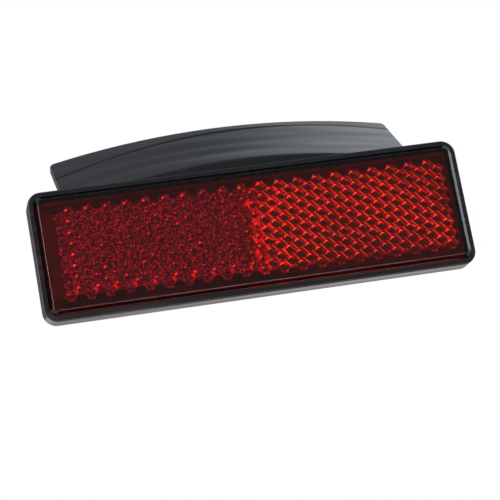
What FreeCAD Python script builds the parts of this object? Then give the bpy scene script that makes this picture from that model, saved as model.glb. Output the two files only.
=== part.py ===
import FreeCAD, Part
import math
import os

# Bicycle rear reflector with a stick-on flange. Millimetres.
# The origin is the centre of the housing's flat back face. +X runs along the reflector,
# +Y points away from the viewer, towards the front of the bicycle, and +Z is up.
# The lens looks along -Y.

# Housing: a shallow tray that holds the lens
face_width = 94.0
face_height = 28.0
corner_radius = 3.0
housing_depth = 4.8
rim_width = 1.2
back_wall = 1.5
front_edge_round = 0.25
back_edge_round = 0.5

# Flange: an upright web in line with the back wall turns over a crest into a plate that is
# part of a large cylinder. Its length runs up the slope from the crest.
flange_width = 77.4
flange_length = 20.5
flange_thickness = 2.0
flange_radius = 190.0
flange_slope = 38.0
crest_rise = 2.7
crest_round = 0.6
flange_corner_radius = 1.3
flange_edge_round = 0.4
flange_root_round = 1.0

# Lens: a cap with a bevelled front and a skirt that stands on the tray's floor
lens_clearance = 0.1
lens_proud = 1.4
bevel_depth = 0.5
bevel_width = 0.75
bevel_round = 0.25
lens_plate = 2.0
skirt_width = 1.2

# Corner-cube prisms on the back of the lens: hexagonal cells in upright columns,
# in two blocks that are turned half a turn from each other
cell_pitch = 2.4
cell_rows = 8
left_columns = 21
right_columns = 20
block_seam_x = 1.75

# Foam pad and release liner on the hollow underside of the flange
pad_length = 68.0
pad_width = 16.0
pad_far_margin = 1.2
pad_thickness = 1.0
liner_thickness = 0.15

# Worked out from the sizes above
housing_front = -housing_depth
floor_y = -back_wall
lens_front = housing_front - lens_proud
lens_inset = rim_width + lens_clearance
prism_base = lens_front + lens_plate
crest_z = face_height / 2 + crest_rise
cell_side = cell_pitch / math.sqrt(3)
cube_edge = cell_pitch / math.sqrt(2)
prism_height = 2 * cube_edge / math.sqrt(3)

# Distance below which two places count as the same
near = 0.001


def rounded_outline(inset, y):
    """Outline of the face, drawn in by an even inset, as a closed wire at one depth."""
    radius = corner_radius - inset
    inner_x = face_width / 2 - corner_radius
    inner_z = face_height / 2 - corner_radius
    arcs = []
    for first_angle, side_x, side_z in ((0, 1, 1), (90, -1, 1), (180, -1, -1), (270, 1, -1)):
        points = []
        for angle in (first_angle, first_angle + 45, first_angle + 90):
            across = side_x * inner_x + radius * math.cos(math.radians(angle))
            up = side_z * inner_z + radius * math.sin(math.radians(angle))
            points.append(FreeCAD.Vector(across, y, up))
        arcs.append(points)
    edges = []
    for number, points in enumerate(arcs):
        following = arcs[(number + 1) % 4]
        edges.append(Part.Arc(*points).toShape())
        edges.append(Part.LineSegment(points[2], following[0]).toShape())
    return Part.Wire(edges)


def slab(inset, y_front, y_back):
    """Solid of the inset outline between two depths."""
    face = Part.Face(rounded_outline(inset, y_front))
    return face.extrude(FreeCAD.Vector(0, y_back - y_front, 0))


def middle_of(edge):
    """Point halfway along an edge."""
    return edge.valueAt((edge.FirstParameter + edge.LastParameter) / 2)


def edges_at_depth(shape, y):
    """Edges whose two ends and middle lie at one depth."""
    found = []
    for edge in shape.Edges:
        depths = [vertex.Y for vertex in edge.Vertexes] + [middle_of(edge).y]
        if all(abs(depth - y) < near for depth in depths):
            found.append(edge)
    return found


def runs_along(edge, direction):
    """True for an edge whose ends lie in line with a direction."""
    span = edge.Vertexes[-1].Point - edge.Vertexes[0].Point
    return span.Length > near and abs(span.normalize().dot(direction)) > 1 - near


def arched_layer(top_depth, low_depth, width, start, end):
    """Layer between two depths under the flange's top face, and between two places along it.

    It is drawn level, with the crest at the origin, and then tilted into place.
    """
    half = width / 2
    arcs = []
    for depth in (top_depth, low_depth):
        radius = flange_radius - depth
        points = []
        for x in (-half, 0, half):
            points.append(FreeCAD.Vector(x, start, math.sqrt(radius ** 2 - x ** 2) - flange_radius))
        arcs.append(points)
    upper, lower = arcs
    edges = [
        Part.Arc(*upper).toShape(),
        Part.LineSegment(upper[2], lower[2]).toShape(),
        Part.Arc(*lower).toShape(),
        Part.LineSegment(lower[0], upper[0]).toShape(),
    ]
    face = Part.Face(Part.Wire(Part.__sortEdges__(edges)))
    return face.extrude(FreeCAD.Vector(0, end - start, 0))


def tilt(shape):
    """Turns a level shape up to the flange's slope and moves it to the crest."""
    shape.rotate(FreeCAD.Vector(0, 0, 0), FreeCAD.Vector(1, 0, 0), flange_slope)
    shape.translate(FreeCAD.Vector(0, floor_y, crest_z))
    return shape


def upright_box(width, y_front, y_back, z_low, z_high):
    """Plain box, centred across."""
    corner = FreeCAD.Vector(-width / 2, y_front, z_low)
    return Part.makeBox(width, y_back - y_front, z_high - z_low, corner)


def make_bracket():
    """Web and flange in one, with a rounded crest, far corners and edges."""
    plate = arched_layer(0, flange_thickness, flange_width, -flange_length, flange_length)
    upright = FreeCAD.Vector(0, 0, 1)
    far_corners = [edge for edge in edges_at_depth(plate, flange_length) if runs_along(edge, upright)]
    plate = plate.makeFillet(flange_corner_radius, far_corners)
    behind_floor = upright_box(face_width, floor_y, flange_length, -face_height, 2 * face_height)
    plate = tilt(plate).common(behind_floor)

    # The web ends inside the plate's thickness, so that the two fuse cleanly
    under_plate = arched_layer(flange_thickness / 2, face_height, flange_width, -flange_length, flange_length)
    web = upright_box(flange_width, floor_y, 0, face_height / 2 - rim_width, crest_z)
    bracket = plate.fuse(web.common(tilt(under_plate))).removeSplitter()
    crest = [edge for edge in edges_at_depth(bracket, floor_y) if abs(middle_of(edge).z - crest_z) < near]
    bracket = bracket.makeFillet(crest_round, crest)

    # Round the plate's outline, above and below, but not the short edges across its thickness
    slope = math.radians(flange_slope)
    through_plate = FreeCAD.Vector(0, -math.sin(slope), math.cos(slope))
    outline = []
    for edge in bracket.Edges:
        furthest = max(vertex.Y for vertex in edge.Vertexes)
        if furthest > back_wall and not runs_along(edge, through_plate):
            outline.append(edge)
    return bracket.makeFillet(flange_edge_round, outline)


def make_housing():
    """Tray with rim, side walls and back wall, moulded in one with the web and flange."""
    block = slab(0, housing_front, 0)
    block = block.makeFillet(front_edge_round, edges_at_depth(block, housing_front))
    block = block.makeFillet(back_edge_round, edges_at_depth(block, 0))
    housing = block.fuse(make_bracket()).removeSplitter()

    # The arched line where the flange's underside leaves the web
    root = []
    for edge in edges_at_depth(housing, 0):
        if edge.Length > flange_width / 2 and edge.BoundBox.ZLength > near:
            root.append(edge)
    housing = housing.makeFillet(flange_root_round, root)
    return housing.cut(slab(rim_width, lens_front, floor_y))


def prism_block(columns, turned):
    """One block of corner cubes, as a closed solid that stands on the back of the lens plate.

    Each hexagonal cell is one corner of a cube: three square faces that meet at an apex.
    Corners of cells lie on a grid of half cell sides by half cell pitches.
    """
    step_x = cell_side / 2
    step_z = cell_pitch / 2
    left_x = block_seam_x - (3 * left_columns + 0.5) * step_x
    low_z = -(cell_rows - 0.5) * step_z
    ring = ((2, 0), (1, 1), (-1, 1), (-2, 0), (-1, -1), (1, -1))
    raised_corner = 1 if turned else 0

    def place(spot, height):
        return FreeCAD.Vector(left_x + spot[0] * step_x, prism_base + height, low_z + spot[1] * step_z)

    squares = []
    heights = {}
    border = set()
    for column in columns:
        for row in range(cell_rows):
            centre = (3 * column + 2, 2 * row + column % 2)
            corners = [(centre[0] + across, centre[1] + up) for across, up in ring]
            for number, corner in enumerate(corners):
                heights[corner] = prism_height / 2 if number % 2 == raised_corner else 0
                side = (corner, corners[(number + 1) % 6])
                # A side that two cells share runs both ways and is no part of the border
                if side[::-1] in border:
                    border.remove(side[::-1])
                else:
                    border.add(side)
            for number in range(raised_corner, 6, 2):
                squares.append((centre, [corners[(number + turn) % 6] for turn in range(3)]))

    # Two neighbouring corners of a square face and the one between them, with the apex
    faces = []
    for centre, corners in squares:
        apex = place(centre, prism_height)
        points = [place(corner, heights[corner]) for corner in corners]
        faces.append(Part.Face(Part.makePolygon([apex] + points + [apex])))

    # Upright triangles close the block all round, and one flat face closes it below
    for start, end in border:
        raised = start if heights[start] > 0 else end
        points = [place(start, 0), place(end, 0), place(raised, heights[raised])]
        faces.append(Part.Face(Part.makePolygon(points + points[:1])))
    following = dict(border)
    chain = [min(following)]
    while following[chain[-1]] != chain[0]:
        chain.append(following[chain[-1]])
    base = [place(corner, 0) for corner in chain]
    faces.append(Part.Face(Part.makePolygon(base + base[:1])))
    return Part.makeSolid(Part.makeShell(faces))


def make_lens():
    """Red moulding: bevelled front plate, skirt to the tray's floor, and the prisms inside."""
    shoulder_y = lens_front + bevel_depth
    front_wire = rounded_outline(lens_inset + bevel_width, lens_front)
    shoulder_wire = rounded_outline(lens_inset, shoulder_y)
    bevelled = Part.makeLoft([front_wire, shoulder_wire], True, True)
    lens = bevelled.fuse(slab(lens_inset, shoulder_y, floor_y)).removeSplitter()
    lens = lens.makeFillet(bevel_round, edges_at_depth(lens, lens_front))
    lens = lens.cut(slab(lens_inset + skirt_width, prism_base, floor_y))
    left = prism_block(range(left_columns), False)
    right = prism_block(range(left_columns, left_columns + right_columns), True)
    return lens.fuse([left, right])


def pad_layer(top_depth, thickness):
    """Layer of the pad, at a depth under the flange's top face."""
    end = flange_length - pad_far_margin
    return tilt(arched_layer(top_depth, top_depth + thickness, pad_length, end - pad_width, end))


def make_foam_pad():
    """Black foam pad, face to face with the flange."""
    return pad_layer(flange_thickness, pad_thickness)


def make_release_liner():
    """Thin white liner that covers the pad's free face."""
    return pad_layer(flange_thickness + pad_thickness, liner_thickness)


parts = {
    "housing": make_housing(),
    "lens": make_lens(),
    "foam_pad": make_foam_pad(),
    "release_liner": make_release_liner(),
}

os.makedirs("parts", exist_ok=True)
for name, shape in parts.items():
    solids = len(shape.Solids)
    print(name, "solids", solids, "valid", shape.isValid(), "volume", round(shape.Volume, 1), "mm3")
    shape.exportStep("parts/" + name + ".step")
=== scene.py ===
# %% [markdown]
# A rear reflector for a bicycle, dressed for its picture
#
# The reflector is four pieces: a black tray with a sloping flange, a clear red lens whose back
# is cut into hundreds of little cube corners, a strip of foam and the paper that covers its glue.
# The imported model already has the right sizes, so each piece here starts from it. What is added is
# what light meets: rounded prism edges, clear red plastic, moulded gloss, foam cells and paper.

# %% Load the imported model
import math

import bmesh
import bpy
from mathutils import Matrix, Vector, noise


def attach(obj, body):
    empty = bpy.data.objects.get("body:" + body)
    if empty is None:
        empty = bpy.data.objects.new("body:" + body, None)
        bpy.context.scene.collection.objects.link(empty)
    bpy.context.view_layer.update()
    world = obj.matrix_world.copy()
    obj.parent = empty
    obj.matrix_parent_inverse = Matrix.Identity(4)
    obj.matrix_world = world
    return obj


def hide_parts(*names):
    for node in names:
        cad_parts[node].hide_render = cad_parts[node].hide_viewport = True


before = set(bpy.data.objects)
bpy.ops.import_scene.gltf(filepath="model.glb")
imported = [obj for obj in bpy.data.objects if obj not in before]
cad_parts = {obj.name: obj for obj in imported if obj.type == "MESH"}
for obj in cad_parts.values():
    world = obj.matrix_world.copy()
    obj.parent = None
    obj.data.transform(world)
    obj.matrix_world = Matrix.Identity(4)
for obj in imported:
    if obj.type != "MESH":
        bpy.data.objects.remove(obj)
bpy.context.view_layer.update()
MM = 0.001

# %% [markdown]
# The camera comes first, because every look is judged through it. It stands in front of the
# reflector, a little to the left and below, and it is tipped to one side, which is why the long
# edges climb to the right. Distance and focal length go together: a near camera would shrink the
# far end too much and a distant one not at all. This pair gives the slight narrowing it needs.

# %% Camera
CAMERA_PLACE = Vector((-84.48, -405.29, -98.63)) * MM
CAMERA_TURN = math.radians(11.652)
CAMERA_RISE = math.radians(12.970)
CAMERA_TIP = math.radians(-10.438)
FOCAL_LENGTH = 142.73
SENSOR_WIDTH = 36.0
NEAR_CLIP = 0.01


def make_camera():
    """A camera at its place, turned about the upright, raised, and tipped about its own axis."""
    forward = Vector((
        math.sin(CAMERA_TURN) * math.cos(CAMERA_RISE),
        math.cos(CAMERA_TURN) * math.cos(CAMERA_RISE),
        math.sin(CAMERA_RISE),
    ))
    level = Vector((math.cos(CAMERA_TURN), -math.sin(CAMERA_TURN), 0))
    right = level * math.cos(CAMERA_TIP) + level.cross(forward) * math.sin(CAMERA_TIP)
    upward = right.cross(forward)
    camera = bpy.data.objects.new("camera", bpy.data.cameras.new("camera"))
    camera.data.lens = FOCAL_LENGTH
    camera.data.sensor_width = SENSOR_WIDTH
    camera.data.clip_start = NEAR_CLIP
    camera.matrix_world = Matrix((right, upward, -forward)).transposed().to_4x4()
    camera.location = CAMERA_PLACE
    bpy.context.scene.collection.objects.link(camera)
    bpy.context.scene.camera = camera
    return camera


camera = make_camera()
print("camera", [round(value, 3) for value in camera.location], "m")

# %% [markdown]
# The lens is one closed body of clear plastic. Its front is flat and its rim is bevelled. Behind it
# stand the prisms: each hexagonal cell is the corner of a cube, three square faces at right
# angles. Light that comes in bounces off all three and goes back the way it came.
# It could be faked with a picture of hexagons, but then it would not flash as the view moves. So
# the cells are modelled, as a lattice whose corners are shared by neighbours, and their clear
# middles bend and bounce the light by themselves. Sizes are in millimetres until the mesh is done.

# %% Sizes of the lens
FACE_WIDTH = 94.0
FACE_HEIGHT = 28.0
FACE_CORNER = 3.0
RIM_FRONT = -4.8
LENS_INSET = 1.3
LENS_FRONT = -6.2
LENS_SHOULDER = -5.7
BEVEL_WIDTH = 0.75
TRAY_FLOOR = -1.5
PLATE_BACK = -4.2
SKIRT_WIDTH = 1.2
FRONT_ROUND = 0.5
CELL_PITCH = 2.4
CELL_SIDE = CELL_PITCH / math.sqrt(3)
CELL_ROWS = 8
LEFT_COLUMNS = 21
RIGHT_COLUMNS = 20
SEAM_X = 1.75
PRISM_HEIGHT = 2 * CELL_PITCH / math.sqrt(6)
STEPS_PER_CORNER = 10
LEAST_CORNER = 0.05


def outline_ring(mesh, inset, depth):
    """Vertices of the face's rounded outline, drawn in by an inset, at one depth."""
    radius = max(FACE_CORNER - inset, LEAST_CORNER)
    middle_x = FACE_WIDTH / 2 - inset - radius
    middle_z = FACE_HEIGHT / 2 - inset - radius
    ring = []
    for quarter, (side_x, side_z) in enumerate(((1, 1), (-1, 1), (-1, -1), (1, -1))):
        for step in range(STEPS_PER_CORNER + 1):
            angle = (quarter + step / STEPS_PER_CORNER) * math.pi / 2
            x = side_x * middle_x + radius * math.cos(angle)
            z = side_z * middle_z + radius * math.sin(angle)
            ring.append(mesh.verts.new((x, depth, z)))
    return ring


def bridge(mesh, first, second):
    """Quads between two rings with the same number of vertices."""
    faces = []
    for number in range(len(first)):
        after = (number + 1) % len(first)
        faces.append(mesh.faces.new((first[number], first[after], second[after], second[number])))
    return faces


print("the lens measures", FACE_WIDTH - 2 * LENS_INSET, "by", FACE_HEIGHT - 2 * LENS_INSET, "mm")

# %% [markdown]
# The lattice: every corner of every cell has whole-number coordinates, half a cell side across
# and half a cell pitch up. A dictionary from those numbers to a vertex makes neighbours share
# corners without any welding. The right block is the left one turned half a turn, so along the
# seam a high corner meets a low one. There the slanting edges of the two blocks cross halfway,
# where every side of a cell has a shared point.

# %% Prism lattice
RING_OF_CORNERS = ((2, 0), (1, 1), (-1, 1), (-2, 0), (-1, -1), (1, -1))


def cell_layout():
    """Every cell's centre, corners and corner heights, and the sides with the cells that own them."""
    cells = []
    sides = {}
    for column in range(LEFT_COLUMNS + RIGHT_COLUMNS):
        turned = column >= LEFT_COLUMNS
        first_high = 1 if turned else 0
        heights = [PRISM_HEIGHT / 2 if number % 2 == first_high else 0 for number in range(6)]
        for row in range(CELL_ROWS):
            centre = (3 * column + 2, 2 * row + column % 2)
            spots = [(centre[0] + across, centre[1] + up) for across, up in RING_OF_CORNERS]
            cells.append((centre, spots, heights, first_high))
            for number in range(6):
                after = (number + 1) % 6
                high_spot = spots[number] if heights[number] > 0 else spots[after]
                key = frozenset((spots[number], spots[after]))
                sides.setdefault(key, []).append((turned, high_spot, spots[number], spots[after]))
    return cells, sides


print("prism cells", len(cell_layout()[0]))

# %% [markdown]
# No mould leaves knife-sharp prisms: the valleys between the cells are rounded and a little
# rough. Only the middle of a cell works as a clean mirror and looks dark, because it shows
# the dark room behind the viewer. Round it runs a band that glows red, and a few stretches of
# valley catch the full light as thin lines and thick strokes. Traced as rounded clear plastic this
# would need thousands of samples. So each cell is drawn in three rings, clear middle, band and
# valley, and the outer two get a hazy finish whose colour is painted light, standing in for the
# light they gather. Near the edges of the left block, some strokes and cell sides get painted
# glints and painted light, brighter than the rest.

# %% Cells in three rings
LEFT_REACHES = ((0.34,) * 6, (0.66,) * 6, (0.94,) * 6)
RIGHT_REACHES = (
    (0.86, 0.60, 0.60, 0.86, 0.60, 0.60),
    (0.93, 0.77, 0.77, 0.93, 0.77, 0.77),
    (0.94, 0.94, 0.94, 0.94, 0.94, 0.94),
)
BAND_RISE = 0.02
RING_RISES = (0, 0, BAND_RISE)
VALLEY_RISE = 0.06
SIDE_SHARES = (0, 0.06, 0.5, 0.94)
STEPS_PER_SIDE = len(SIDE_SHARES)
STEPS_PER_RING = 6 * STEPS_PER_SIDE
NARROW_PARTS = (0, 3)
OUTER_LEVEL = 2
STROKE_CORNER = 2
LINE_CORNERS = (2, 5)
LINE_SIDES = (0, 3)
LIT_SIDE = 3
FLASHING_COLUMN = 1
# The hazy finishes are painted light; the last two are painted glints on strokes and painted light on cell
# sides.
CLEAR, BAND, STROKE, LINE, WALL, WELDED, FRONT, EDGE, PAINTED_GLINT, PAINTED_LIT = range(10)


def band_finish(level, step):
    """Material number of one step round a ring. Every side has four: narrow, wide, wide, narrow."""
    side, part = divmod(step, STEPS_PER_SIDE)
    nearest_corner = (side + (part > 1)) % 6
    if level == 0 and nearest_corner == STROKE_CORNER:
        return STROKE
    if part in NARROW_PARTS and nearest_corner in LINE_CORNERS:
        return LINE
    if level == OUTER_LEVEL and side in LINE_SIDES:
        return LINE
    return BAND


def edge_painted_light(centre, side, finish):
    """Finish at the left block's edge: painted glints on strokes in every second column, and painted light
    on one side of the foot row's cells.
    """
    column = (centre[0] - 2) // 3
    row = centre[1] // 2
    if column >= LEFT_COLUMNS or column % 2 == 0:
        return finish
    if finish == STROKE and (column == FLASHING_COLUMN or row in (0, CELL_ROWS - 1)):
        return PAINTED_GLINT
    if side == LIT_SIDE and row == 0:
        return PAINTED_LIT
    return finish


def add_prisms(mesh):
    """Adds both blocks of cube corners. Returns the edges of their foot."""
    step_x = CELL_SIDE / 2
    step_z = CELL_PITCH / 2
    left_x = SEAM_X - (3 * LEFT_COLUMNS + 0.5) * step_x
    low_z = -(CELL_ROWS - 0.5) * step_z
    cells, sides = cell_layout()
    border = {spot for key, owners in sides.items() if len(owners) == 1 for spot in key}
    made = {}

    def place(spot, height):
        return Vector((left_x + spot[0] * step_x, PLATE_BACK + height, low_z + spot[1] * step_z))

    def corner(spot, height):
        name = (round(spot[0], 3), round(spot[1], 3), round(height, 3))
        if name not in made:
            rise = 0 if spot in border else VALLEY_RISE
            made[name] = mesh.verts.new(place(spot, height + rise))
        return made[name]

    def slant(start, start_height, end, end_height):
        """Shared vertices along a cell's side, with its first end but without its last."""
        points = []
        for share in SIDE_SHARES:
            spot = tuple(one + (other - one) * share for one, other in zip(start, end))
            points.append(corner(spot, start_height + (end_height - start_height) * share))
        return points

    def add_face(points, finish):
        mesh.faces.new(points).material_index = finish

    raised = PRISM_HEIGHT / 2
    foot = []
    for owners in sides.values():
        for _, high_spot, start, end in owners:
            low_spot = end if high_spot == start else start
            falling = slant(high_spot, raised, low_spot, 0)
            if len(owners) == 1:
                foot.append((corner(start, 0), corner(end, 0)))
                add_face(falling + [corner(low_spot, 0), corner(high_spot, 0)], WALL)
            elif owners[0][0] != owners[1][0]:
                # One owner from each block: a side on the seam, where two slants cross halfway
                rising = slant(high_spot, 0, low_spot, raised)
                add_face(falling[:3] + [rising[1], rising[0]], WALL)
    for centre, spots, heights, first_high in cells:
        apex = place(centre, PRISM_HEIGHT)
        ends = [place(spot, height) for spot, height in zip(spots, heights)]
        rings = []
        for reaches, rise in zip(RIGHT_REACHES if first_high else LEFT_REACHES, RING_RISES):
            points = [apex.lerp(end, reach) + Vector((0, rise, 0)) for end, reach in zip(ends, reaches)]
            ring = []
            for number, point in enumerate(points):
                after = points[(number + 1) % 6]
                ring += [mesh.verts.new(point.lerp(after, share)) for share in SIDE_SHARES]
            rings.append(ring)
        outer = []
        for number in range(6):
            after = (number + 1) % 6
            outer += slant(spots[number], heights[number], spots[after], heights[after])
        rings.append(outer)
        top = mesh.verts.new(apex)
        for number in range(first_high, 6, 2):
            steps = range(STEPS_PER_SIDE * number, STEPS_PER_SIDE * (number + 2) + 1)
            add_face([top] + [rings[0][step % STEPS_PER_RING] for step in steps], CLEAR)
        for step in range(STEPS_PER_RING):
            after = (step + 1) % STEPS_PER_RING
            for level, (near, far) in enumerate(zip(rings, rings[1:])):
                finish = edge_painted_light(centre, step // STEPS_PER_SIDE, band_finish(level, step))
                add_face((near[step], near[after], far[after], far[step]), finish)
    return foot


print("steps round a cell", STEPS_PER_RING, "in", len(RING_RISES), "rings")

# %% [markdown]
# The rest of the lens is one outline over and over: rings at different depths and insets, joined
# by quads, make the rounded front edge, the bevel, the side and the skirt. It could be cut from
# blocks with Boolean modifiers, but those leave slivers, while rings stay clean. Last, triangles
# join the skirt to the foot of the prisms, so that the mesh is closed.

# %% Lens body
FRONT_ROUND_STEPS = 5


def make_lens():
    """The whole lens as one closed mesh, in metres."""
    mesh = bmesh.new()
    foot = add_prisms(mesh)
    tilt = math.atan2(LENS_SHOULDER - LENS_FRONT, BEVEL_WIDTH)
    reach = FRONT_ROUND * math.tan(tilt / 2)
    rings = []
    for step in range(FRONT_ROUND_STEPS + 1):
        angle = tilt * step / FRONT_ROUND_STEPS
        inset = LENS_INSET + BEVEL_WIDTH + reach - FRONT_ROUND * math.sin(angle)
        rings.append(outline_ring(mesh, inset, LENS_FRONT + FRONT_ROUND * (1 - math.cos(angle))))
    rings.append(outline_ring(mesh, LENS_INSET, LENS_SHOULDER))
    rings.append(outline_ring(mesh, LENS_INSET, RIM_FRONT))
    shown = len(rings)
    rings.append(outline_ring(mesh, LENS_INSET, TRAY_FLOOR))
    rings.append(outline_ring(mesh, LENS_INSET + SKIRT_WIDTH, TRAY_FLOOR))
    rings.append(outline_ring(mesh, LENS_INSET + SKIRT_WIDTH, PLATE_BACK))
    flat = mesh.faces.new(rings[0])
    flat.material_index = FRONT
    flat.smooth = True
    for number, (first, second) in enumerate(zip(rings, rings[1:])):
        for face in bridge(mesh, first, second):
            face.material_index = EDGE if number < shown - 1 else WELDED
            face.smooth = number < shown - 1
    inner = rings[-1]
    hole = [mesh.edges.get((inner[number - 1], inner[number])) for number in range(len(inner))]
    hole += [mesh.edges.get(pair) for pair in foot]
    bmesh.ops.triangle_fill(mesh, edges=hole, use_beauty=True, normal=(0, 1, 0))
    bmesh.ops.recalc_face_normals(mesh, faces=mesh.faces)
    open_edges = sum(1 for edge in mesh.edges if len(edge.link_faces) != 2)
    print("lens: open edges", open_edges, "volume", round(mesh.calc_volume(), 1), "mm3")
    bmesh.ops.scale(mesh, vec=(MM, MM, MM), verts=mesh.verts)
    data = bpy.data.meshes.new("lens_body")
    mesh.to_mesh(data)
    mesh.free()
    return data


# %% [markdown]
# A rounded edge should shade smoothly from one flat face to the next, while the flat faces stay
# flat like mirrors. The Weighted Normal modifier does both, as long as its threshold is zero:
# in metres these faces are so small that the usual threshold would call them all the same size.

# %% Shading of flats and rounds
LENS_SMOOTH_ANGLE = math.radians(48)
AREA_WEIGHT = 100


def place_piece(name, data, replaced):
    """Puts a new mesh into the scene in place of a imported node."""
    piece = bpy.data.objects.new(name, data)
    bpy.context.scene.collection.objects.link(piece)
    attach(piece, "root")
    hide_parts(replaced)
    return piece


def smooth_by_faces(piece, angle, everywhere=True):
    """Shades smooth, but keeps hard edges over an angle and lets the large faces rule the normals."""
    if everywhere:
        piece.data.shade_smooth()
    piece.data.set_sharp_from_angle(angle=angle)
    weighted = piece.modifiers.new("weighted_normals", "WEIGHTED_NORMAL")
    weighted.mode = "FACE_AREA"
    weighted.weight = AREA_WEIGHT
    weighted.thresh = 0
    weighted.keep_sharp = True


lens = place_piece("red_lens", make_lens(), "lens")
smooth_by_faces(lens, LENS_SMOOTH_ANGLE, everywhere=False)
print("lens faces", len(lens.data.polygons))

# %% [markdown]
# The foam pad is a strip of closed-cell foam with glue on both faces. It sits on the hollow
# underside of the flange, so it bends to the same arc. A bent box would give its place, but foam is
# cut with a blade: its sides bulge a little, its corners are soft and the cut is torn. So its
# outline swells between the two faces, and noise pushes the cut sides in and out.

# %% Sizes of the pad and its liner
FLANGE_RADIUS = 190.0
FLANGE_SLOPE = math.radians(38)
FLANGE_LENGTH = 20.5
FLANGE_THICKNESS = 2.0
CREST_RISE = 2.7
CREST_Z = FACE_HEIGHT / 2 + CREST_RISE
PAD_LENGTH = 68.0
PAD_WIDTH = 16.0
PAD_FAR_MARGIN = 1.2
PAD_THICKNESS = 1.0
LINER_THICKNESS = 0.15
PAD_MIDDLE = FLANGE_LENGTH - PAD_FAR_MARGIN - PAD_WIDTH / 2


def under_flange(x, along, depth):
    """Place at a depth under the flange's top face, in metres."""
    radius = FLANGE_RADIUS - depth
    rise = math.sqrt(radius ** 2 - x ** 2) - FLANGE_RADIUS
    return Vector((
        x,
        TRAY_FLOOR + along * math.cos(FLANGE_SLOPE) - rise * math.sin(FLANGE_SLOPE),
        CREST_Z + along * math.sin(FLANGE_SLOPE) + rise * math.cos(FLANGE_SLOPE),
    )) * MM


print("the pad's middle is", PAD_MIDDLE, "mm up the slope")

# %% Foam pad
PAD_STEPS_LONG = 136
PAD_STEPS_WIDE = 32
PAD_CORNER = 0.9
CUT_STEPS = 6
CORNER_STEPS = 6
CUT_BULGE = 0.10
CUT_TEAR = 0.05
TEAR_SIZE = 0.45
TEAR_FADE = 4
FACE_GAP = 0.02
FOAM_SMOOTH_ANGLE = math.radians(50)


def sheet_outline(length, width, corner, steps_long, steps_wide, corner_steps):
    """Points round a rectangle with rounded corners, in order, about its middle."""
    points = []
    half_long = length / 2 - corner
    half_wide = width / 2 - corner
    sides = ((1, 1, steps_long), (-1, 1, steps_wide), (-1, -1, steps_long), (1, -1, steps_wide))
    for quarter, (side_x, side_y, steps) in enumerate(sides):
        middle = Vector((side_x * half_long, side_y * half_wide))
        for step in range(corner_steps + 1):
            angle = (quarter + step / corner_steps) * math.pi / 2
            points.append(middle + corner * Vector((math.cos(angle), math.sin(angle))))
        after = sides[(quarter + 1) % 4]
        next_angle = (quarter + 1) * math.pi / 2
        target = Vector((after[0] * half_long, after[1] * half_wide))
        target += corner * Vector((math.cos(next_angle), math.sin(next_angle)))
        start = points[-1].copy()
        for step in range(1, steps):
            points.append(start.lerp(target, step / steps))
    return points, cap_faces(len(points), steps_long, steps_wide, corner_steps)


def cap_faces(total, steps_long, steps_wide, corner_steps):
    """Faces that close the outline: rungs straight across, which lie true on an arc, and two ends."""
    far_start = corner_steps
    near_start = 3 * corner_steps + steps_long + steps_wide
    faces = []
    for step in range(steps_long):
        far = far_start + step
        near = near_start + steps_long - step
        faces.append((far, far + 1, near - 1, near))
    faces.append(tuple(range(far_start + steps_long, near_start + 1)))
    faces.append(tuple(range(near_start + steps_long, total)) + tuple(range(far_start + 1)))
    return faces


def layered_sheet(name, outline, caps, levels, place):
    """A closed sheet from one outline at several levels. Each level is (depth, inset)."""
    mesh = bmesh.new()
    rings = []
    for depth, inset in levels:
        rings.append([mesh.verts.new(place(point, depth, inset)) for point in outline])
    for first, second in zip(rings, rings[1:]):
        bridge(mesh, first, second)
    for ring in (rings[0], rings[-1]):
        for cap in caps:
            mesh.faces.new([ring[number] for number in cap])
    bmesh.ops.recalc_face_normals(mesh, faces=mesh.faces)
    data = bpy.data.meshes.new(name)
    mesh.to_mesh(data)
    mesh.free()
    return data


def pad_place(point, depth, inset):
    """Place of a pad point. The cut side is torn in and out by noise, less towards its two faces."""
    outward = Vector((point.x / PAD_LENGTH, point.y / PAD_WIDTH)).normalized()
    middle_depth = FLANGE_THICKNESS + PAD_THICKNESS / 2
    towards_face = min(1, abs(depth - middle_depth) / (PAD_THICKNESS / 2))
    tear = noise.noise(Vector((point.x, point.y, depth)) / TEAR_SIZE) * CUT_TEAR
    moved = point - outward * (inset - tear * (1 - towards_face ** TEAR_FADE))
    return under_flange(moved.x, PAD_MIDDLE + moved.y, depth)


def make_foam_pad():
    """The foam strip, with cut sides that bulge between its two glued faces."""
    outline, caps = sheet_outline(PAD_LENGTH, PAD_WIDTH, PAD_CORNER, PAD_STEPS_LONG, PAD_STEPS_WIDE,
                                  CORNER_STEPS)
    levels = []
    for step in range(CUT_STEPS + 1):
        share = step / CUT_STEPS
        depth = FLANGE_THICKNESS + FACE_GAP + share * (PAD_THICKNESS - 2 * FACE_GAP)
        inset = CUT_BULGE + CUT_TEAR - CUT_BULGE * math.sin(math.pi * share)
        levels.append((depth, inset))
    return layered_sheet("foam_pad_body", outline, caps, levels, pad_place)


foam_pad = place_piece("foam_strip", make_foam_pad(), "foam_pad")
smooth_by_faces(foam_pad, FOAM_SMOOTH_ANGLE)
print("foam pad faces", len(foam_pad.data.polygons))

# %% [markdown]
# The liner is the slick paper that keeps the glue clean until the reflector is stuck on. It is a
# plain sheet in real life too, so the honest way is a thin closed sheet on the same arc, not a
# plane: paper has a cut edge that catches light. One corner stands a hair proud, where it has
# started to peel.

# %% Release liner
LINER_STEPS_LONG = 80
LINER_STEPS_WIDE = 20
LIFT_REACH = 7.0
LIFT_HEIGHT = 0.35
LINER_INSET = 0.05
LINER_SMOOTH_ANGLE = math.radians(40)


def liner_place(point, depth, inset):
    """Place of a liner point, with one corner lifted off the foam."""
    corner = Vector((PAD_LENGTH / 2, PAD_WIDTH / 2))
    lifted = max(0, 1 - (point - corner).length / LIFT_REACH) ** 2 * LIFT_HEIGHT
    return under_flange(point.x * (1 - inset / PAD_LENGTH), PAD_MIDDLE + point.y, depth + lifted)


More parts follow.
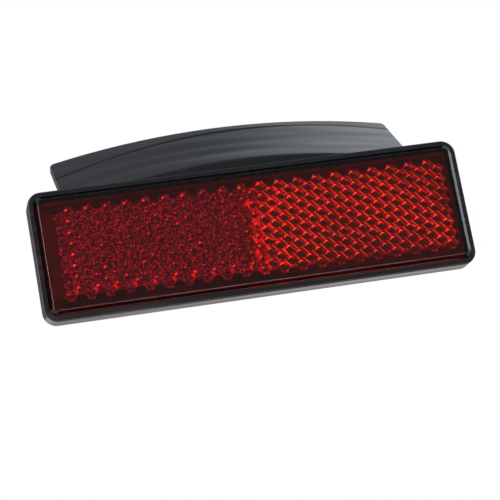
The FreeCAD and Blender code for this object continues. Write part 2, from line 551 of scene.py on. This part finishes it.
def make_liner():
    """The liner as a thin closed sheet."""
    outline, caps = sheet_outline(PAD_LENGTH, PAD_WIDTH, PAD_CORNER, LINER_STEPS_LONG, LINER_STEPS_WIDE,
                                  CORNER_STEPS)
    top = FLANGE_THICKNESS + PAD_THICKNESS
    levels = ((top, LINER_INSET), (top + LINER_THICKNESS, LINER_INSET))
    return layered_sheet("liner_sheet", outline, caps, levels, liner_place)


liner = place_piece("peel_off_liner", make_liner(), "release_liner")
smooth_by_faces(liner, LINER_SMOOTH_ANGLE)
print("liner faces", len(liner.data.polygons))

# %% [markdown]
# Materials. Each is a Principled shader with its own values. Effects that several of them share are
# node groups: one box with named inputs, built once, that puts out a height or a mask. Two are
# enough here. Grain is the fine unevenness of a moulded or coated surface, and marks are the
# scuffs and dust that handling leaves, which change how rough and how pale a spot is.

# %% Shared effects
MARK_LAYERS = 5
MARK_PATCHES = 0.12
MARK_FAINT = 0.5
MARK_FULL = 0.75


def new_group(name, inputs, outputs):
    """An empty node group with named values in and out."""
    group = bpy.data.node_groups.new(name, "ShaderNodeTree")
    for socket, value in inputs.items():
        made = group.interface.new_socket(socket, in_out="INPUT", socket_type="NodeSocketFloat")
        made.default_value = value
    for socket in outputs:
        group.interface.new_socket(socket, in_out="OUTPUT", socket_type="NodeSocketFloat")
    return group, group.nodes.new("NodeGroupInput"), group.nodes.new("NodeGroupOutput")


def stretched_place(group, source, stretch):
    """Object coordinates scaled by a size input, and drawn out along the part."""
    place = group.nodes.new("ShaderNodeTexCoord")
    scaled = group.nodes.new("ShaderNodeVectorMath")
    scaled.operation = "SCALE"
    drawn = group.nodes.new("ShaderNodeVectorMath")
    drawn.operation = "MULTIPLY"
    group.links.new(place.outputs["Object"], scaled.inputs[0])
    group.links.new(source.outputs["Per metre"], scaled.inputs["Scale"])
    group.links.new(scaled.outputs["Vector"], drawn.inputs[0])
    combine = group.nodes.new("ShaderNodeCombineXYZ")
    group.links.new(source.outputs[stretch], combine.inputs["X"])
    combine.inputs["Y"].default_value = 1
    combine.inputs["Z"].default_value = 1
    group.links.new(combine.outputs["Vector"], drawn.inputs[1])
    return drawn.outputs["Vector"]


def make_grain_group():
    """Grain: a height from layered noise, which may be drawn out along the part."""
    inputs = {"Per metre": 900, "Along": 1, "Layers": 3}
    group, source, result = new_group("moulded_grain", inputs, ["Height"])
    cloud = group.nodes.new("ShaderNodeTexNoise")
    cloud.inputs["Scale"].default_value = 1
    group.links.new(source.outputs["Layers"], cloud.inputs["Detail"])
    group.links.new(stretched_place(group, source, "Along"), cloud.inputs["Vector"])
    group.links.new(cloud.outputs["Fac"], result.inputs["Height"])
    return group


def make_marks_group():
    """Marks: a mask of scuffs and dust, patchy because two noises multiply."""
    group, source, result = new_group("handling_marks", {"Per metre": 400, "Along": 0.2}, ["Mask"])
    place = stretched_place(group, source, "Along")
    fine = group.nodes.new("ShaderNodeTexNoise")
    fine.inputs["Scale"].default_value = 1
    fine.inputs["Detail"].default_value = MARK_LAYERS
    patches = group.nodes.new("ShaderNodeTexNoise")
    patches.inputs["Scale"].default_value = MARK_PATCHES
    steep = group.nodes.new("ShaderNodeMapRange")
    steep.inputs["From Min"].default_value = MARK_FAINT
    steep.inputs["From Max"].default_value = MARK_FULL
    both = group.nodes.new("ShaderNodeMath")
    both.operation = "MULTIPLY"
    group.links.new(place, fine.inputs["Vector"])
    group.links.new(place, patches.inputs["Vector"])
    group.links.new(fine.outputs["Fac"], steep.inputs["Value"])
    group.links.new(steep.outputs["Result"], both.inputs[0])
    group.links.new(patches.outputs["Fac"], both.inputs[1])
    group.links.new(both.outputs["Value"], result.inputs["Mask"])
    return group


moulded_grain = make_grain_group()
handling_marks = make_marks_group()
print("shared effects", moulded_grain.name, handling_marks.name)

# %% [markdown]
# Node trees are quick to draw by hand and slow to read as code. A few helpers keep the materials
# short: each adds a node or two and returns the socket that comes out. Masks use the part's own
# coordinates, so that a mark stays in its place in every view.

# %% Material helpers
def new_material(name, **values):
    """A Principled material with its plain values set. Returns it with its tree and its shader."""
    material = bpy.data.materials.new(name)
    material.use_nodes = True
    tree = material.node_tree
    shader = tree.nodes["Principled BSDF"]
    for socket, value in values.items():
        shader.inputs[socket.replace("_", " ")].default_value = value
    return material, tree, shader


def effect(tree, group, **values):
    """One of the shared effects, placed in a material with its own values."""
    node = tree.nodes.new("ShaderNodeGroup")
    node.node_tree = group
    for socket, value in values.items():
        node.inputs[socket.replace("_", " ")].default_value = value
    return node.outputs[0]


def value_between(tree, mask, low, high):
    """A value that goes from low to high with a mask."""
    spread = tree.nodes.new("ShaderNodeMapRange")
    spread.inputs["To Min"].default_value = low
    spread.inputs["To Max"].default_value = high
    tree.links.new(mask, spread.inputs["Value"])
    return spread.outputs["Result"]


def colour_between(tree, mask, first, second):
    """A colour that goes from the first to the second with a mask."""
    mix = tree.nodes.new("ShaderNodeMix")
    mix.data_type = "RGBA"
    mix.inputs["A"].default_value = first
    mix.inputs["B"].default_value = second
    tree.links.new(mask, mix.inputs["Factor"])
    return mix.outputs["Result"]


def bump(tree, height, distance, below=None):
    """A bump of a real height, in metres, on top of another one if it is given."""
    node = tree.nodes.new("ShaderNodeBump")
    node.inputs["Distance"].default_value = distance
    tree.links.new(height, node.inputs["Height"])
    if below is not None:
        tree.links.new(below, node.inputs["Normal"])
    return node.outputs["Normal"]


def object_axis(tree, axis):
    """One of the part's own coordinates, in metres."""
    place = tree.nodes.new("ShaderNodeTexCoord")
    split = tree.nodes.new("ShaderNodeSeparateXYZ")
    tree.links.new(place.outputs["Object"], split.inputs["Vector"])
    return split.outputs[axis]


def ramp(tree, value, low, high):
    """A mask that rises smoothly from 0 to 1 between two values. It falls where low is over high."""
    rise = tree.nodes.new("ShaderNodeMapRange")
    rise.interpolation_type = "SMOOTHSTEP"
    rise.inputs["From Min"].default_value = min(low, high)
    rise.inputs["From Max"].default_value = max(low, high)
    rise.inputs["To Min"].default_value = 0 if low < high else 1
    rise.inputs["To Max"].default_value = 1 if low < high else 0
    tree.links.new(value, rise.inputs["Value"])
    return rise.outputs["Result"]


def combined(tree, operation, first, second):
    """Two values or masks put together by a plain sum, product or other operation."""
    node = tree.nodes.new("ShaderNodeMath")
    node.operation = operation
    for socket, value in zip(node.inputs, (first, second)):
        if isinstance(value, (int, float)):
            socket.default_value = value
        else:
            tree.links.new(value, socket)
    return node.outputs["Value"]


def seam_ramp(tree, across, start, end):
    """A ramp between two distances to the right of the seam, in millimetres."""
    return ramp(tree, across, (SEAM_X + start) * MM, (SEAM_X + end) * MM)


print("the seam between the blocks is at x", SEAM_X, "mm")

# %% [markdown]
# The red is clear acrylic, coloured all through. Glass with a base colour takes the tint where light
# goes in and again where it comes out, so a look through the lens and back is tinted twice.
# A red that is not quite pure matters: where much light comes back, the little green that is
# left turns the net orange. The front gets a faint unevenness from the mould. The prism
# faces get none, because a mirror that is off by half a degree no longer sends light back.

# %% Clear red plastic
CLEAR_RED = (0.92, 0.05, 0.035, 1)
ACRYLIC_IOR = 1.49
FRONT_WAVES = {"Per_metre": 260, "Along": 0.6}
FRONT_WAVE_HEIGHT = 0.0015 * MM


def clear_red(name):
    """Clear red acrylic, polished."""
    return new_material(name, Base_Color=CLEAR_RED, Roughness=0.0, IOR=ACRYLIC_IOR,
                        Transmission_Weight=1.0)


def make_red_front():
    """The outside of the lens, with the slight waves of the mould."""
    material, tree, shader = clear_red("clear_red_front")
    waves = effect(tree, moulded_grain, **FRONT_WAVES)
    tree.links.new(bump(tree, waves, FRONT_WAVE_HEIGHT), shader.inputs["Normal"])
    return material


print("clear red, index of refraction", ACRYLIC_IOR)

# %% [markdown]
# The haze of the bands and valleys is a matt finish seen through the clear front, and its colour is
# painted light: it stands for the light that the rounded prism edges gather. Its colour is multiplied
# by the red of the lens, so a yellow haze turns orange and a purple one wine. The two blocks send
# light different ways: seen from the left, the right block glows evenly, the left one only sparkles in
# fine specks, and bright blobs lie on both sides of the seam. All of this is painted into the colour.
# One function makes every haze, with an amount of painted light for each block.

# %% Haze with painted light, and weld
# Colours of the painted light in the hazes: none, deep red glow, bright glow, and wine.
NO_PAINTED_LIGHT = (0, 0, 0, 1)
PAINTED_GLOW_DEEP = (1, 0.05, 0.15, 1)
PAINTED_GLOW_BRIGHT = (1, 1, 0.3, 1)
PAINTED_GLINT_COLOUR = (1, 0.4, 0.3, 1)
PAINTED_GLOW_WINE = (1, 0.3, 1, 1)
HAZE_ROUGHNESS = 0.6
SEAM_GLOW = 0.5
PAINTED_SPARKLE = {"Per_metre": 2200, "Along": 1, "Layers": 1}
PAINTED_SPARKLE_RANGE = (0.42, 0.68)
PAINTED_HIGHLIGHT_BLOBS = {"Per_metre": 700, "Along": 1, "Layers": 1}
PAINTED_HIGHLIGHT_RANGE = (0.48, 0.66)
# A slow variation of the right block's painted glow, between a share and its full amount.
GLOW_VARIATION = {"Per_metre": 110, "Along": 1}
GLOW_VARIATION_RANGE = (0.35, 0.6)
LEAST_GLOW_SHARE = 0.6

# Where a change starts and ends, in millimetres to the right of the seam
BLOCK_CHANGE = (-4, 2)
COLOUR_CHANGE = (-6, -3)
GLOW_RISE = (-4, -2)
GLOW_FALL = (7, 4)


def make_haze_with_painted_light(name, full_colour, left_amount, left_sparkle, right_amount, left_colour=PAINTED_GLOW_WINE):
    """Haze of the bands and valleys, coloured with painted light: fine painted sparkle on the left, even
    glow on the right, painted highlights at the seam.
    """
    material, tree, shader = new_material(name, Roughness=HAZE_ROUGHNESS, Specular_IOR_Level=0.0)
    across = object_axis(tree, "X")
    painted_sparkle = ramp(tree, effect(tree, moulded_grain, **PAINTED_SPARKLE), *PAINTED_SPARKLE_RANGE)
    highlight_blobs = ramp(tree, effect(tree, moulded_grain, **PAINTED_HIGHLIGHT_BLOBS), *PAINTED_HIGHLIGHT_RANGE)
    glow_variation = ramp(tree, effect(tree, moulded_grain, **GLOW_VARIATION), *GLOW_VARIATION_RANGE)
    left = value_between(tree, painted_sparkle, left_amount, left_sparkle)
    right = value_between(tree, glow_variation, LEAST_GLOW_SHARE * right_amount, right_amount)
    by_block = tree.nodes.new("ShaderNodeMix")
    tree.links.new(seam_ramp(tree, across, *BLOCK_CHANGE), by_block.inputs["Factor"])
    tree.links.new(left, by_block.inputs["A"])
    tree.links.new(right, by_block.inputs["B"])
    near_seam = combined(tree, "MULTIPLY", seam_ramp(tree, across, *GLOW_RISE),
                         seam_ramp(tree, across, *GLOW_FALL))
    glow = combined(tree, "MULTIPLY", combined(tree, "MULTIPLY", near_seam, highlight_blobs), SEAM_GLOW)
    amount = combined(tree, "MAXIMUM", by_block.outputs["Result"], glow)
    # The haze colour is painted light, from none up to the full glow colour.
    haze = colour_between(tree, amount, NO_PAINTED_LIGHT, full_colour)
    warm = seam_ramp(tree, across, *COLOUR_CHANGE)
    tree.links.new(colour_between(tree, warm, left_colour, full_colour), haze.node.inputs["B"])
    tree.links.new(haze, shader.inputs["Base Color"])
    return material


WELD_DARK = (0.03, 0.002, 0.004, 1)
WELD_RED = (0.09, 0.004, 0.010, 1)
BUBBLES = {"Per_metre": 1500, "Along": 0.5, "Layers": 1}
BUBBLE_RANGE = (0.4, 0.7)


def make_weld():
    """Skirt and weld: very dark red, where the clear plastic has melted into the black tray."""
    material, tree, shader = new_material("red_weld", Roughness=HAZE_ROUGHNESS, Specular_IOR_Level=0.0)
    bubbles = ramp(tree, effect(tree, moulded_grain, **BUBBLES), *BUBBLE_RANGE)
    tree.links.new(colour_between(tree, bubbles, WELD_DARK, WELD_RED), shader.inputs["Base Color"])
    return material


print("haze changes between blocks", BLOCK_CHANGE, "mm from the seam")

# %% [markdown]
# Each material number of the lens mesh now gets its finish. The hazes are painted light. The first
# amount of a haze is its level of painted light on the left block, the second that of its painted
# sparkle there, and the third its level on the right block.

# %% Lens finishes
lens_finishes = {
    CLEAR: clear_red("clear_red_prisms")[0],
    BAND: make_haze_with_painted_light("prism_bands_painted_glow", PAINTED_GLOW_DEEP, 0.02, 0.20, 0.13),
    STROKE: make_haze_with_painted_light("prism_strokes_painted_highlight", PAINTED_GLOW_BRIGHT, 0.03, 0.60, 1.0),
    LINE: make_haze_with_painted_light("prism_valleys_painted_highlight", PAINTED_GLOW_BRIGHT, 0.01, 0.16, 0.6),
    WALL: make_haze_with_painted_light("prism_walls_painted_glow", PAINTED_GLOW_DEEP, 0.02, 0.05, 0.1),
    WELDED: make_weld(),
    FRONT: make_red_front(),
    EDGE: clear_red("clear_red_edge")[0],
    PAINTED_GLINT: make_haze_with_painted_light("painted_prism_glints", PAINTED_GLOW_BRIGHT, 0.4, 1.0, 1.0, PAINTED_GLINT_COLOUR),
    PAINTED_LIT: make_haze_with_painted_light("painted_lit_cell_sides", PAINTED_GLOW_DEEP, 0.35, 0.60, 0.3, PAINTED_GLOW_DEEP),
}
for number in sorted(lens_finishes):
    lens.data.materials.append(lens_finishes[number])
print("lens finishes", [material.name for material in lens.data.materials])

# %% [markdown]
# The tray is gloss black styrene. Light only shows on it as reflections, so what makes it read as
# moulded plastic is how those reflections bend: long soft waves along the flange, where the
# plastic cooled, a sink mark near the flange's far edge, where it shrank, and a very fine grain
# over everything. Scuffs lift the roughness in places. Deep in the pocket, behind the prisms, the
# floor is painted pale red: painted light, for the red light that is trapped there.

# %% Black plastic
DEEP_BLACK = (0.012, 0.013, 0.015, 1)
DUSTY_BLACK = (0.03, 0.032, 0.036, 1)
# Painted red light on the pocket floor, for light trapped behind the prisms.
POCKET_PAINTED_RED_LIGHT = (0.35, 0.1, 0.1, 1)
POCKET_REACH = 0.1 * MM
POCKET_FOOT = (-9.2 * MM, -8.2 * MM)
POCKET_TOP = (9.9 * MM, 9.2 * MM)
POCKET_END = (42.5 * MM, 41 * MM)
POCKET_CHANGE = (-6, 1)
POCKET_LEFT_SHARE = 0.05
SINK_MIDDLE = 12 * MM
SINK_MARGIN = 2.7 * MM
SINK_CURVE = 2.6
SINK_WIDTH = 1.4 * MM
SINK_DEPTH = 0.15 * MM
STYRENE_IOR = 1.5
GLOSS_ROUGHNESS = 0.09
SCUFF_ROUGHNESS = 0.35
SCUFFS = {"Per_metre": 500, "Along": 0.12}
COOLING_WAVES = {"Per_metre": 130, "Along": 0.14, "Layers": 1}
COOLING_HEIGHT = 0.6 * MM
FINE_GRAIN = {"Per_metre": 5000, "Along": 1}
FINE_HEIGHT = 0.0008 * MM


def pocket_floor_painted_light(tree):
    """Mask of the painted red light on the pocket's floor: full behind the right block, faint behind the
    left one.
    """
    on_floor = combined(tree, "COMPARE", object_axis(tree, "Y"), TRAY_FLOOR * MM)
    on_floor.node.inputs[2].default_value = POCKET_REACH
    across = object_axis(tree, "X")
    height = object_axis(tree, "Z")
    inside = combined(tree, "MULTIPLY", ramp(tree, height, *POCKET_FOOT), ramp(tree, height, *POCKET_TOP))
    inside = combined(tree, "MULTIPLY", inside, ramp(tree, across, *POCKET_END))
    side = value_between(tree, seam_ramp(tree, across, *POCKET_CHANGE), POCKET_LEFT_SHARE, 1)
    return combined(tree, "MULTIPLY", combined(tree, "MULTIPLY", on_floor, inside), side)


def flange_sink(tree):
    """Step of a sink mark. It runs along the flange, closest to the far edge right of the middle."""
    from_middle = combined(tree, "SUBTRACT", object_axis(tree, "X"), SINK_MIDDLE)
    away = combined(tree, "MULTIPLY", combined(tree, "MULTIPLY", from_middle, from_middle), SINK_CURVE)
    along_y = combined(tree, "MULTIPLY", object_axis(tree, "Y"), math.cos(FLANGE_SLOPE))
    along_z = combined(tree, "MULTIPLY", object_axis(tree, "Z"), math.sin(FLANGE_SLOPE))
    along = combined(tree, "ADD", combined(tree, "ADD", along_y, along_z), away)
    crest = (TRAY_FLOOR * math.cos(FLANGE_SLOPE) + CREST_Z * math.sin(FLANGE_SLOPE)) * MM
    line = crest + FLANGE_LENGTH * MM - SINK_MARGIN
    return ramp(tree, along, line - SINK_WIDTH / 2, line + SINK_WIDTH / 2)


def make_black_plastic():
    """Gloss black, with scuffs, long waves, the sink mark, fine grain and painted red light on the pocket
    floor.
    """
    material, tree, shader = new_material("gloss_black_plastic", IOR=STYRENE_IOR)
    marks = effect(tree, handling_marks, **SCUFFS)
    # The pocket floor is painted pale red, as painted light.
    colour = colour_between(tree, pocket_floor_painted_light(tree), DEEP_BLACK, POCKET_PAINTED_RED_LIGHT)
    tree.links.new(colour_between(tree, marks, DEEP_BLACK, DUSTY_BLACK), colour.node.inputs["A"])
    tree.links.new(colour, shader.inputs["Base Color"])
    tree.links.new(value_between(tree, marks, GLOSS_ROUGHNESS, SCUFF_ROUGHNESS), shader.inputs["Roughness"])
    under = bump(tree, effect(tree, moulded_grain, **COOLING_WAVES), COOLING_HEIGHT)
    under = bump(tree, flange_sink(tree), SINK_DEPTH, under)
    grain = bump(tree, effect(tree, moulded_grain, **FINE_GRAIN), FINE_HEIGHT, under)
    tree.links.new(grain, shader.inputs["Normal"])
    return material


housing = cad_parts["housing"]
housing.data.materials.clear()
housing.data.materials.append(make_black_plastic())
print("housing", housing.data.materials[0].name)

# %% [markdown]
# Foam and paper. The foam is matt black with tiny round cells, which a Voronoi texture gives, over
# softer lumps; the hollows of the cells are painted darker, as painted shade. The paper is nearly
# white with a faint fibre cloud in colour and height and a gentle cockle, under a slick coating.

# %% Foam and paper
FOAM_BLACK_PORE_SHADE = (0.012, 0.012, 0.013, 1)
FOAM_WALL = (0.05, 0.05, 0.052, 1)
FOAM_CELLS = 4200
FOAM_WALL_RANGE = (0.25, 0.75)
FOAM_CELL_HEIGHT = 0.12 * MM
FOAM_LUMPS = {"Per_metre": 900, "Along": 1}
FOAM_LUMP_HEIGHT = 0.05 * MM
PAPER_WHITE = (0.86, 0.86, 0.84, 1)
PAPER_FIBRE = (0.74, 0.75, 0.73, 1)
FIBRES = {"Per_metre": 2500, "Along": 0.35}
FIBRE_RANGE = (0.35, 0.7)
FIBRE_HEIGHT = 0.01 * MM
PAPER_MARKS = {"Per_metre": 300, "Along": 0.5}
PAPER_SLICK = 0.35
PAPER_DULL = 0.6
COCKLE = {"Per_metre": 160, "Along": 1}
COCKLE_HEIGHT = 0.08 * MM


def make_foam():
    """Closed-cell foam, with painted shade in the hollows of its cells."""
    material, tree, shader = new_material("closed_cell_foam", Roughness=0.95, Specular_IOR_Level=0.25)
    place = tree.nodes.new("ShaderNodeTexCoord")
    cells = tree.nodes.new("ShaderNodeTexVoronoi")
    cells.inputs["Scale"].default_value = FOAM_CELLS
    tree.links.new(place.outputs["Object"], cells.inputs["Vector"])
    # The middles of the cells are painted darker, as painted shade in their hollows, and the walls between
    # them keep the paler black.
    walls = ramp(tree, cells.outputs["Distance"], *FOAM_WALL_RANGE)
    tree.links.new(colour_between(tree, walls, FOAM_BLACK_PORE_SHADE, FOAM_WALL), shader.inputs["Base Color"])
    under = bump(tree, effect(tree, moulded_grain, **FOAM_LUMPS), FOAM_LUMP_HEIGHT)
    tree.links.new(bump(tree, cells.outputs["Distance"], FOAM_CELL_HEIGHT, under), shader.inputs["Normal"])
    return material


def make_liner_paper():
    """Coated paper."""
    material, tree, shader = new_material("coated_liner_paper", IOR=1.45, Coat_Weight=0.4,
                                          Coat_Roughness=0.2)
    fibres = effect(tree, moulded_grain, **FIBRES)
    pale = ramp(tree, fibres, *FIBRE_RANGE)
    tree.links.new(colour_between(tree, pale, PAPER_FIBRE, PAPER_WHITE), shader.inputs["Base Color"])
    marks = effect(tree, handling_marks, **PAPER_MARKS)
    tree.links.new(value_between(tree, marks, PAPER_SLICK, PAPER_DULL), shader.inputs["Roughness"])
    under = bump(tree, effect(tree, moulded_grain, **COCKLE), COCKLE_HEIGHT)
    tree.links.new(bump(tree, fibres, FIBRE_HEIGHT, under), shader.inputs["Normal"])
    return material


foam_pad.data.materials.append(make_foam())
liner.data.materials.append(make_liner_paper())
print("pad and liner", foam_pad.data.materials[0].name, liner.data.materials[0].name)

# %% [markdown]
# The studio has a white world and a pale floor. The floor could be a huge plane, but its far edge
# would show as a line. A round one that turns clear towards its rim leaves no edge. It is clear
# from beneath too, so it never hides the part.

# %% World and floor
FLOOR_DROP = -0.16
FLOOR_REACH = 1.1
FLOOR_SEGMENTS = 96
FLOOR_COLOUR = (0.93, 0.93, 0.93, 1)
FADE_START = 0.3 * FLOOR_REACH
FADE_END = 0.9 * FLOOR_REACH


def make_world():
    """White from every side, at a level where a colour renders as it is written."""
    world = bpy.data.worlds.new("studio")
    bpy.context.scene.world = world
    world.use_nodes = True
    background = world.node_tree.nodes["Background"]
    background.inputs["Color"].default_value = (1, 1, 1, 1)
    background.inputs["Strength"].default_value = 1


def make_floor():
    """A pale round floor that fades into the white world towards its rim."""
    mesh = bmesh.new()
    bmesh.ops.create_circle(mesh, cap_ends=True, segments=FLOOR_SEGMENTS, radius=FLOOR_REACH)
    data = bpy.data.meshes.new("floor")
    mesh.to_mesh(data)
    mesh.free()
    floor = bpy.data.objects.new("floor", data)
    floor.location.z = FLOOR_DROP
    floor.visible_glossy = False
    floor.visible_transmission = False
    bpy.context.scene.collection.objects.link(floor)
    material, tree, shader = new_material("pale_floor", Base_Color=FLOOR_COLOUR, Roughness=0.8,
                                          Specular_IOR_Level=0.0)
    place = tree.nodes.new("ShaderNodeTexCoord")
    reach = tree.nodes.new("ShaderNodeVectorMath")
    reach.operation = "LENGTH"
    tree.links.new(place.outputs["Object"], reach.inputs[0])
    fade = ramp(tree, reach.outputs["Value"], FADE_START, FADE_END)
    side = tree.nodes.new("ShaderNodeNewGeometry")
    fade = combined(tree, "MAXIMUM", fade, side.outputs["Backfacing"])
    clear = tree.nodes.new("ShaderNodeBsdfTransparent")
    mix = tree.nodes.new("ShaderNodeMixShader")
    tree.links.new(fade, mix.inputs["Fac"])
    tree.links.new(shader.outputs["BSDF"], mix.inputs[1])
    tree.links.new(clear.outputs["BSDF"], mix.inputs[2])
    tree.links.new(mix.outputs["Shader"], tree.nodes["Material Output"].inputs["Surface"])
    data.materials.append(material)


make_world()
make_floor()
print("floor at", FLOOR_DROP, "m")

# %% [markdown]
# What a glossy or clear surface shows is not its own colour but the room, so the room matters as
# much as the plastic does. It could be a ring of cards and lamps, but their hard outlines would
# show in the gloss. One large tent round everything does it with soft patches instead: each patch
# has a direction, a size and a brightness. The camera does not see the tent, and neither does the
# light that falls on matt surfaces. A ray that has already met a matt surface, and comes out
# through the clear front, finds the tent even and brighter. That fill lights the haze in the lens.

# %% Tent
TENT_RADIUS = 1.3
TENT_SUBDIVISIONS = 4
TENT_LEVEL = 1.0
LENS_FILL = 5.5
HALF_BOUNCE = 0.5
COOL = (0.90, 0.97, 1.05)
WARM = (1.10, 0.97, 0.96)
ROSY = (1.10, 0.62, 0.66)
TENT_PATCHES = (
    # name, direction, full within degrees, gone beyond degrees, brightness, tint
    ("dim_front", (0.10, -0.97, 0.15), 30, 65, 0.20, COOL),
    ("room_behind_camera", (-0.197, -0.954, -0.224), 12, 24, 0.05, COOL),
    ("dark_left", (-0.97, -0.09, 0.23), 28, 50, 0.08, COOL),
    ("dark_below", (0.20, -0.22, -0.95), 25, 45, 0.05, COOL),
    ("table_behind", (0.20, 0.95, -0.22), 12, 30, 0.62, WARM),
    ("dark_behind_left", (-0.20, 0.95, 0.22), 9, 18, 0.15, COOL),
    ("dim_upper_left", (-0.20, 0.40, 0.90), 16, 50, 0.25, COOL),
    ("upper_right_window", (0.60, 0.50, 0.62), 8, 30, 1.1, COOL),
    ("right_window", (0.957, -0.186, 0.224), 8, 14, 3.2, COOL),
    ("left_edge_window", (-0.42, -0.88, 0.224), 14, 21, 8.0, ROSY),
    ("low_edge_window", (0.197, -0.918, -0.343), 10, 18, 3.0, WARM),
    ("dark_overhead", (0.20, 0.05, 0.98), 12, 20, 0.05, COOL),
)


def light_colour(brightness, tint):
    """A tint at a brightness, as a colour with its fourth value."""
    return tuple(brightness * part for part in tint) + (1,)


def make_tent():
    """A sphere that glows by direction. Only glossy and clear surfaces see it."""
    mesh = bmesh.new()
    bmesh.ops.create_icosphere(mesh, subdivisions=TENT_SUBDIVISIONS, radius=TENT_RADIUS)
    data = bpy.data.meshes.new("tent")
    mesh.to_mesh(data)
    mesh.free()
    tent = bpy.data.objects.new("tent", data)
    bpy.context.scene.collection.objects.link(tent)
    tent.visible_camera = False
    tent.visible_diffuse = False
    tent.visible_shadow = False
    material = bpy.data.materials.new("tent_glow")
    material.use_nodes = True
    material.cycles.emission_sampling = "NONE"
    tree = material.node_tree
    tree.nodes.remove(tree.nodes["Principled BSDF"])
    place = tree.nodes.new("ShaderNodeTexCoord")
    direction = tree.nodes.new("ShaderNodeVectorMath")
    direction.operation = "NORMALIZE"
    tree.links.new(place.outputs["Object"], direction.inputs[0])
    glow = tree.nodes.new("ShaderNodeEmission")
    level = light_colour(TENT_LEVEL, COOL)
    light = None
    for name, axis, full, gone, brightness, tint in TENT_PATCHES:
        along = tree.nodes.new("ShaderNodeVectorMath")
        along.operation = "DOT_PRODUCT"
        along.name = name
        along.inputs[1].default_value = Vector(axis).normalized()
        tree.links.new(direction.outputs["Vector"], along.inputs[0])
        angle = combined(tree, "ARCCOSINE", along.outputs["Value"], 0)
        mask = ramp(tree, angle, math.radians(gone), math.radians(full))
        patch = colour_between(tree, mask, level, light_colour(brightness, tint))
        if light is not None:
            tree.links.new(light, patch.node.inputs["A"])
        light = patch
    path = tree.nodes.new("ShaderNodeLightPath")
    after_matt = combined(tree, "GREATER_THAN", path.outputs["Diffuse Depth"], HALF_BOUNCE)
    fill = colour_between(tree, after_matt, level, light_colour(LENS_FILL, WARM))
    tree.links.new(light, fill.node.inputs["A"])
    tree.links.new(fill, glow.inputs["Color"])
    tree.links.new(glow.outputs["Emission"], tree.nodes["Material Output"].inputs["Surface"])
    data.materials.append(material)


make_tent()
print("tent patches", len(TENT_PATCHES))

# %% [markdown]
# Last, the view transform is set to Standard.

# %% Finish
bpy.context.scene.view_settings.view_transform = "Standard"
